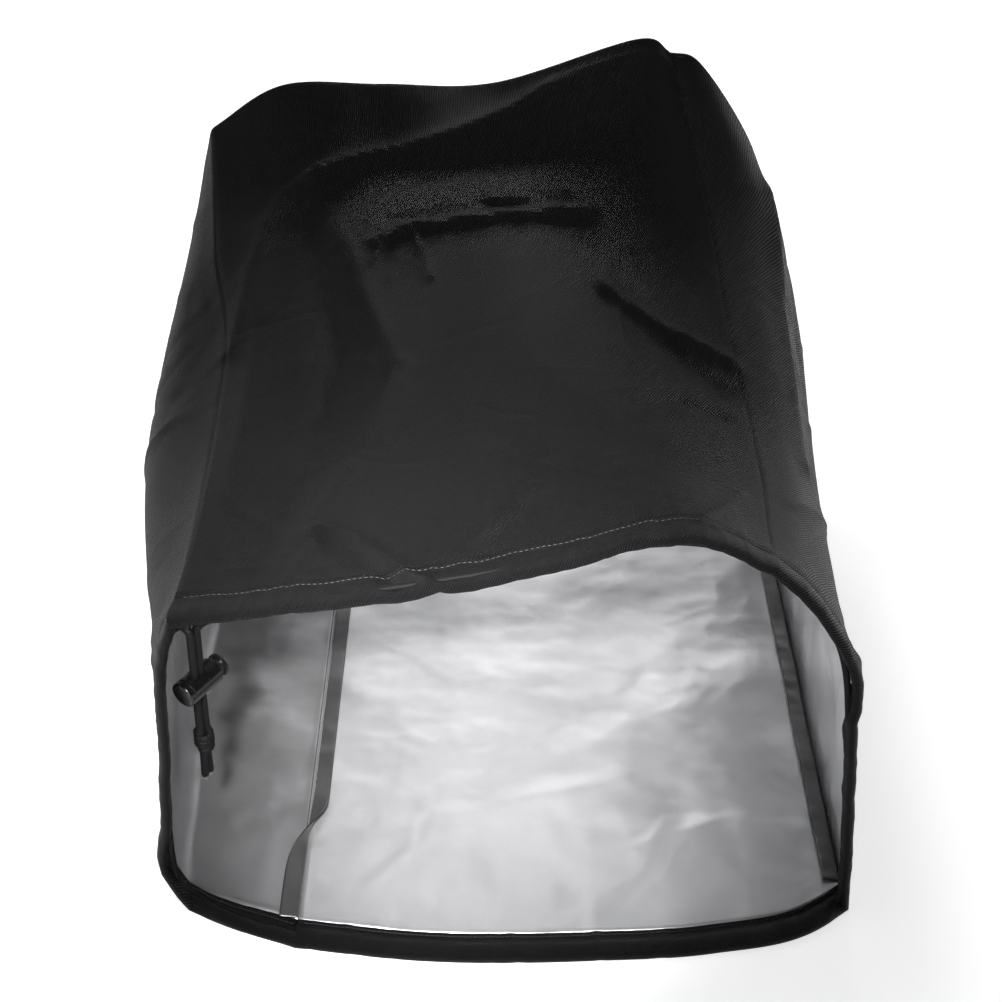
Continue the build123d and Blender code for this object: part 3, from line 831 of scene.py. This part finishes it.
seam_y = spaced(-2, 495, 3.0)
seam_x = np.full_like(seam_y, SEAM_LEFT - 1.6)
seam_points = np.stack([seam_x, seam_y, floor_height(seam_x, seam_y)], axis=-1)
seam_up = np.tile((0.0, 0.0, 1.0), (len(seam_points), 1))
stitch_rows("stitches_left_back", [(seam_points, seam_up)], *SEAM_STITCH, "left_back_seam_thread")
seam_y = spaced(30, 495, 3.0)
seam_x = np.full_like(seam_y, SEAM_RIGHT - 2.2)
seam_points = np.stack([seam_x, seam_y, floor_height(seam_x, seam_y) + 0.9], axis=-1)
seam_up = np.tile((-0.3, 0.0, 0.95), (len(seam_points), 1))
stitch_rows("stitches_right_back", [(seam_points, seam_up)], *SEAM_STITCH, "right_back_seam_thread")
for label, at_width, side in (("left_front", front_surface.width, 1), ("right_front", 0, -1)):
    inner_rows = hanging_rows(front_surface, at_width, side, 33 if side > 0 else 34)
    row = row_on([r if side > 0 else r[::-1] for r in inner_rows], 1, (side, 0, 0))
    stitch_rows("stitches_" + label, [row], *SEAM_STITCH, label + "_seam_thread")
stitch_rows("stitches_closed_end", [row_on(end_rows(), 1, (0, -1, 0))], *SEAM_STITCH, "closed_end_seam_thread")

# ------------------------------------------------------------------ drawcord, tails and knot
CORD_D = 4.8
cord_down = unit(np.array([-0.04, 0.225, -0.974]))
plunger_side = np.array([1.0, 1.38, 0.0])
lock_axis = unit(plunger_side - cord_down * (plunger_side @ cord_down))
cord_third = np.cross(cord_down, lock_axis)
lock_centre = np.array([-182.4, 17.5, 173.0])
STRAND_PITCH = 4.96
EXIT_UP = 36.0
TURN_UP = 16.0
LOCK_CLEAR = 40.0
KNOT_DOWN = 46.5
KNOT_LEAN = 0.8
SIDES = {"left": -1, "right": 1}


def strand_point(side, down):
    return lock_centre + lock_axis * (SIDES[side] * STRAND_PITCH / 2) + cord_down * down


def spline_line(control):
    """Points along a smooth NURBS curve with these control points, in world metres."""
    curve = bpy.data.curves.new("route", "CURVE")
    curve.dimensions = "3D"
    spline = curve.splines.new("NURBS")
    spline.points.add(len(control) - 1)
    for point, place in zip(spline.points, world(control)):
        point.co = (*place, 1.0)
    spline.order_u = 3
    spline.use_endpoint_u = True
    spline.resolution_u = 24
    carrier = bpy.data.objects.new("route", curve)
    bpy.context.scene.collection.objects.link(carrier)
    mesh = bpy.data.meshes.new_from_object(carrier)
    line = np.array([vertex.co[:] for vertex in mesh.vertices])
    bpy.data.objects.remove(carrier)
    bpy.data.curves.remove(curve)
    bpy.data.meshes.remove(mesh)
    return line


def even_line(line, step):
    along = np.concatenate([[0], np.cumsum(np.linalg.norm(np.diff(line, axis=0), axis=1))])
    places = np.linspace(0, along[-1], max(3, int(along[-1] / step)))
    return np.stack([np.interp(places, along, line[:, k]) for k in range(3)], axis=1), places


BRAID_LUMPS = 5
BRAID_PITCH = 0.0042


def tube(line, radius, sides=30, step=0.0006, lumps=0.16, taper=0.0):
    """A closed braided tube along a line in metres: its vertices and faces."""
    points, places = even_line(line, step)
    tangents = unit(np.gradient(points, axis=0))
    side = unit(np.cross(tangents[0], (0.3, 0.5, 0.81)))
    turns = np.linspace(0, math.tau, sides, endpoint=False)
    verts = []
    for i, (point, tangent) in enumerate(zip(points, tangents)):
        side = unit(side - tangent * (side @ tangent))
        up = np.cross(tangent, side)
        twist = math.tau * places[i] / BRAID_PITCH
        swell = 1 + lumps * np.cos(BRAID_LUMPS * turns + twist) * np.cos(BRAID_LUMPS * turns - twist)
        end = min(i, len(points) - 1 - i) * step / radius
        size = radius * (1 if end > 1 else math.sqrt(1 - (1 - end) ** 2) * 0.4 + 0.6)
        if taper:
            size *= 1 - taper * i / len(points)
        verts.extend(point + (side * math.cos(t) + up * math.sin(t)) * size * w for t, w in zip(turns, swell))
    faces = []
    for i in range(len(points) - 1):
        for k in range(sides):
            a = i * sides + k
            b = i * sides + (k + 1) % sides
            faces.append((a, b, b + sides, a + sides))
    faces.append(tuple(range(sides))[::-1])
    faces.append(tuple((len(points) - 1) * sides + k for k in range(sides)))
    return verts, faces


def joined(parts):
    verts = []
    faces = []
    for part_verts, part_faces in parts:
        start = len(verts)
        verts.extend(part_verts)
        faces.extend(tuple(i + start for i in face) for face in part_faces)
    return verts, faces


left_corner = strand_point("left", -EXIT_UP - TURN_UP)
right_corner = strand_point("right", -EXIT_UP - TURN_UP)
turn_in = {"left": left_corner + (-12, 10, -3), "right": right_corner + (16, 6, 1.5)}
tunnel_rows = []
for panel_name in PANELS:
    surface = SURFACES[panel_name]
    knots = surface.a_knots[:-1] if panel_name != "left_side_panel" else surface.a_knots[1:-1]
    points, normals = surface.frame(knots, [9.5])
    tunnel_rows.extend(points[:, 0] - normals[:, 0] * 3.0)
drawcord_line = spline_line([left_corner, turn_in["left"], *tunnel_rows, turn_in["right"], right_corner])
verts, faces = tube(drawcord_line, CORD_D / 2 * MM * 0.92, sides=12, step=0.003, lumps=0.0)
finish_piece(new_object("drawcord_in_hem", verts, faces, [CORD]), "drawcord")

for side in SIDES:
    entry = strand_point(side, KNOT_DOWN) + cord_third * KNOT_LEAN
    route = [turn_in[side], strand_point(side, -EXIT_UP - TURN_UP), strand_point(side, -EXIT_UP),
             strand_point(side, LOCK_CLEAR - 6.5), strand_point(side, LOCK_CLEAR), entry]
    line = spline_line(route)
    verts, faces = tube(line, CORD_D / 2 * MM)
    finish_piece(new_object("cord_tail_" + side, verts, faces, [CORD]),
                               "drawcord_tail_" + side)


def knot_place(along_axis, third, down):
    return lock_centre + lock_axis * along_axis + cord_third * third + cord_down * (KNOT_DOWN + down)


KNOT_WRAP_R = 4.5
KNOT_TURNS = 2
KNOT_SPAN = (1.2, 15.0)   # down the cord, first turn to last


def knot_way(side):
    """One strand's way through the knot: in at the top, round the other strand, out below."""
    sign = SIDES[side]
    way = [knot_place(sign * 2.0, 0.6, -2.0)]
    count = int(KNOT_TURNS * 6) + 1
    for i in range(count):
        turn = math.tau * KNOT_TURNS * i / (count - 1) + (0.4 if side == "right" else 3.1)
        down = KNOT_SPAN[0] + (KNOT_SPAN[1] - KNOT_SPAN[0]) * i / (count - 1)
        tilt = 1.5 * math.sin(turn + 0.8)
        way.append(knot_place(KNOT_WRAP_R * math.cos(turn), KNOT_WRAP_R * math.sin(turn), down + tilt))
    way.append(knot_place(sign * 1.2, 0.0, 16.0))
    return way


END_LENGTH = 35.0
END_START = 11.2
END_SPLAY = 0.03
END_BEND = {"left": (-0.8, 1.0), "right": (1.0, -1.2)}


def fray(tip, heading, seed):
    """Loose pale fibres at a cut cord end."""
    rng = random.Random(seed)
    parts = []
    for _ in range(26):
        start = tip + np.array([rng.uniform(-1.6, 1.6) for _ in range(3)]) - heading * 1.5
        lean = unit(heading + np.array([rng.uniform(-0.32, 0.32) for _ in range(3)]))
        length = rng.uniform(3.0, 6.5)
        line = world(np.array([start, start + lean * length * 0.5, start + heading * length]))
        parts.append(tube(line, 0.00026, sides=5, step=0.0009, lumps=0.0, taper=0.5))
    return joined(parts)


knot_parts = []
fray_parts = []
for side, sign in SIDES.items():
    knot_parts.append(tube(spline_line(knot_way(side)), CORD_D / 2 * MM * 0.98))
    knot_parts.append(tube(spline_line([knot_place(sign * 2.2, 0.0, -2.0), knot_place(sign * 0.8, 0.5, 7.0),
                                        knot_place(sign * 1.4, -0.4, 15.0)]), CORD_D / 2 * MM * 0.98))
    start = knot_place(sign * 1.4, 0.0, END_START)
    heading = unit(cord_down + lock_axis * sign * END_SPLAY)
    bend = lock_axis * END_BEND[side][0] + cord_third * END_BEND[side][1]
    tip = start + heading * (END_LENGTH - 3.0)
    end_line = spline_line([start, start + heading * 9, start + heading * 18 + bend, tip])
    knot_parts.append(tube(end_line, CORD_D / 2 * MM * 0.96))
    fray_parts.append(fray(tip, heading, 41 + sign))
verts, faces = joined(knot_parts)
knot = finish_piece(new_object("cord_knot", verts, faces, [CORD]), "drawcord_knot")
verts, faces = joined(fray_parts)
frays = finish_piece(new_object("cord_frays", verts, faces, [FRAY]), None)

# ------------------------------------------------------------------ cord lock
LOCK_LOOKS = {"cord_lock_barrel": BARREL, "cord_lock_plunger": BUTTON, "cord_lock_spring": steel()}
for node_name, look in LOCK_LOOKS.items():
    for material_slot in frame["nodes"][node_name].material_slots:
        material_slot.material = look

# ------------------------------------------------------------------ stage
FLOOR_REACH = 4
FLOOR_Z = -0.0004
corners = [(x * FLOOR_REACH, y * FLOOR_REACH, FLOOR_Z) for x, y in ((-1, -1), (1, -1), (1, 1), (-1, 1))]
floor = new_object("floor", corners, [(0, 1, 2, 3)], [])
floor_mat, _, floor_shader = material("floor")
floor_shader.inputs["Base Color"].default_value = (0.93, 0.93, 0.93, 1)
floor_shader.inputs["Roughness"].default_value = 0.9
floor_shader.inputs["Emission Color"].default_value = (1, 1, 1, 1)
floor_shader.inputs["Emission Strength"].default_value = 0.66
floor_shader.inputs["Specular IOR Level"].default_value = 0.1
floor.data.materials.append(floor_mat)


def soft_light(name, place, target, size, power):
    lamp = bpy.data.lights.new(name, "AREA")
    lamp.shape = "RECTANGLE"
    lamp.size, lamp.size_y = size
    lamp.energy = power
    made = bpy.data.objects.new(name, lamp)
    bpy.context.scene.collection.objects.link(made)
    made.location = place
    made.rotation_euler = (Vector(target) - Vector(place)).to_track_quat("-Z", "Y").to_euler()


soft_light("top_light", (-0.5, 0.5, 2.0), (0, 0.1, 0.2), (0.7, 0.5), 11)
soft_light("back_light", (-0.2, 2.3, 1.55), (0, 0.2, 0.25), (1.5, 0.35), 22)
soft_light("far_light", (0, 2.4, 0.5), (0, 0.2, 0.3), (2.6, 0.7), 9)
soft_light("low_light", (0.05, -1.9, 0.40), (0, 0.2, 0.1), (0.7, 0.25), 8)
soft_light("left_light", (-1.7, -0.3, 1.2), (0, 0, 0.2), (0.4, 0.9), 1.5)
soft_light("right_light", (1.7, 0.1, 1.3), (0, 0, 0.2), (0.4, 0.9), 1)
mouth_lamp = bpy.data.lights.new("mouth_light", "SPOT")
mouth_lamp.energy = 560
mouth_lamp.spot_size = math.radians(14)
mouth_lamp.spot_blend = 1.0
mouth_lamp.shadow_soft_size = 0.06
mouth_light = bpy.data.objects.new("mouth_light", mouth_lamp)
bpy.context.scene.collection.objects.link(mouth_light)
mouth_light.location = (-0.08, -1.53, 1.33)
aim = Vector((-0.02, -0.01, 0.0)) - mouth_light.location
mouth_light.rotation_euler = aim.to_track_quat("-Z", "Y").to_euler()
back = bpy.data.worlds.new("studio")
back.use_nodes = True
back.node_tree.nodes["Background"].inputs[0].default_value = (1, 1, 1, 1)
back.node_tree.nodes["Background"].inputs[1].default_value = 0.06
bpy.context.scene.world = back
